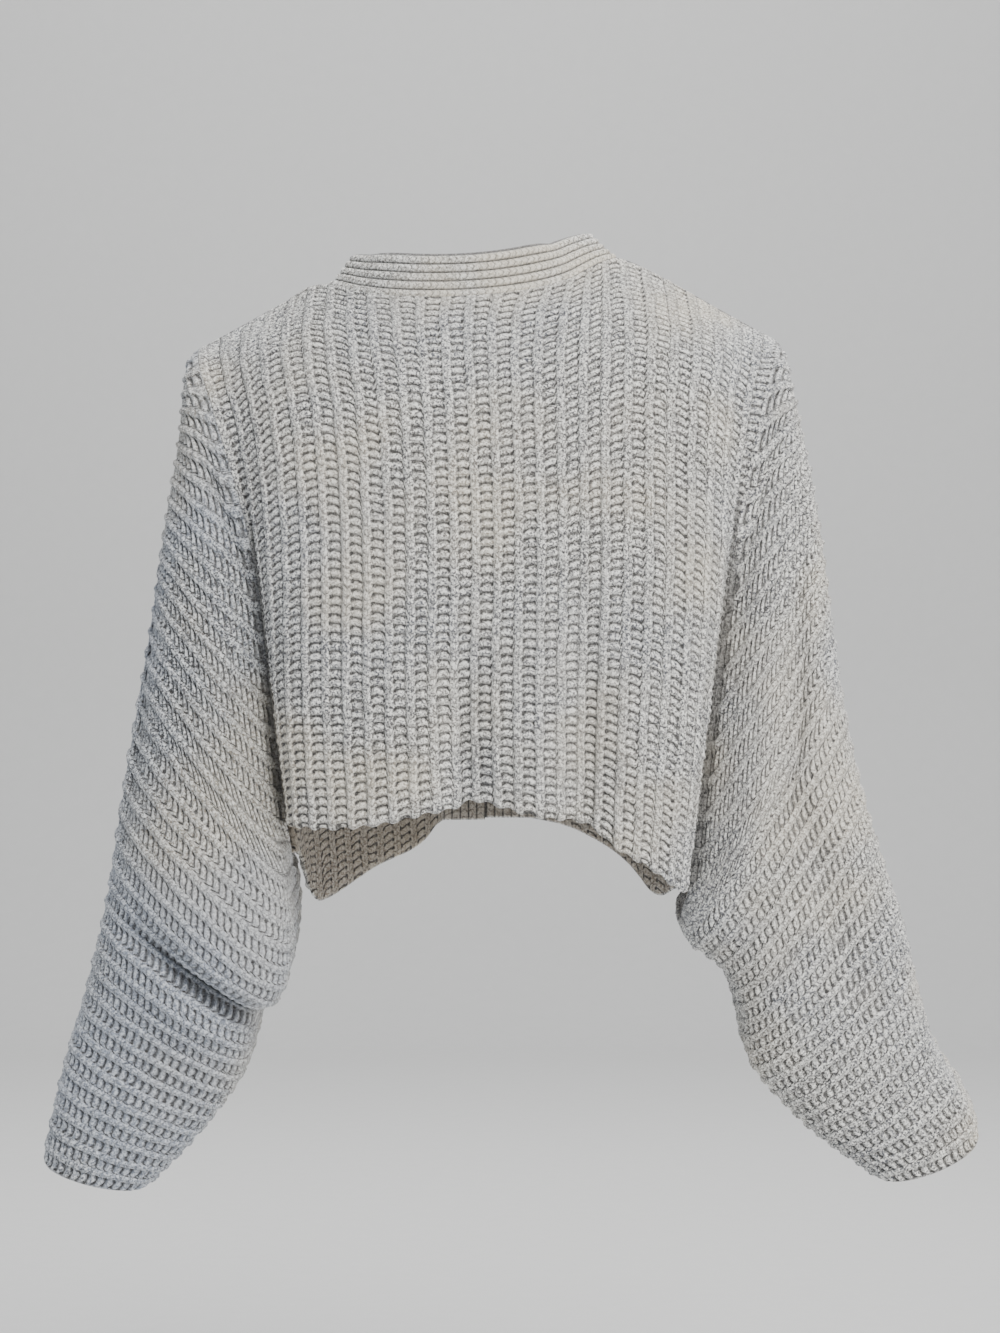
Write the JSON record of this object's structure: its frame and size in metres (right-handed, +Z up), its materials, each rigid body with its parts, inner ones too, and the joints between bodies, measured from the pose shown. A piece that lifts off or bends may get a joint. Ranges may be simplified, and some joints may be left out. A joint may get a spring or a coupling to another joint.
{
  "type": "cropped batwing cardigan",
  "caption": "Cropped batwing cardigan in chunky ribbed crochet, worn shape, hollow, with wide dropped sleeves and a ribbed neckband down both fronts.",
  "frame": {"origin": "base of the neck, midway between the shoulders, where the wearer's shoulders carry the garment", "axes": "+Z up, +Y toward the wearer's front, +X toward the wearer's right"},
  "size_m": [0.7105, 0.2619, 0.7195],
  "materials": {
    "grey_wool": "matt heather wool, crocheted in ribs"
  },
  "bodies": {
    "root": {"back": "grey_wool", "front_left": "grey_wool", "front_right": "grey_wool", "sleeve_left": "grey_wool", "sleeve_right": "grey_wool", "neckband": "grey_wool"}
  },
  "joints": []
}
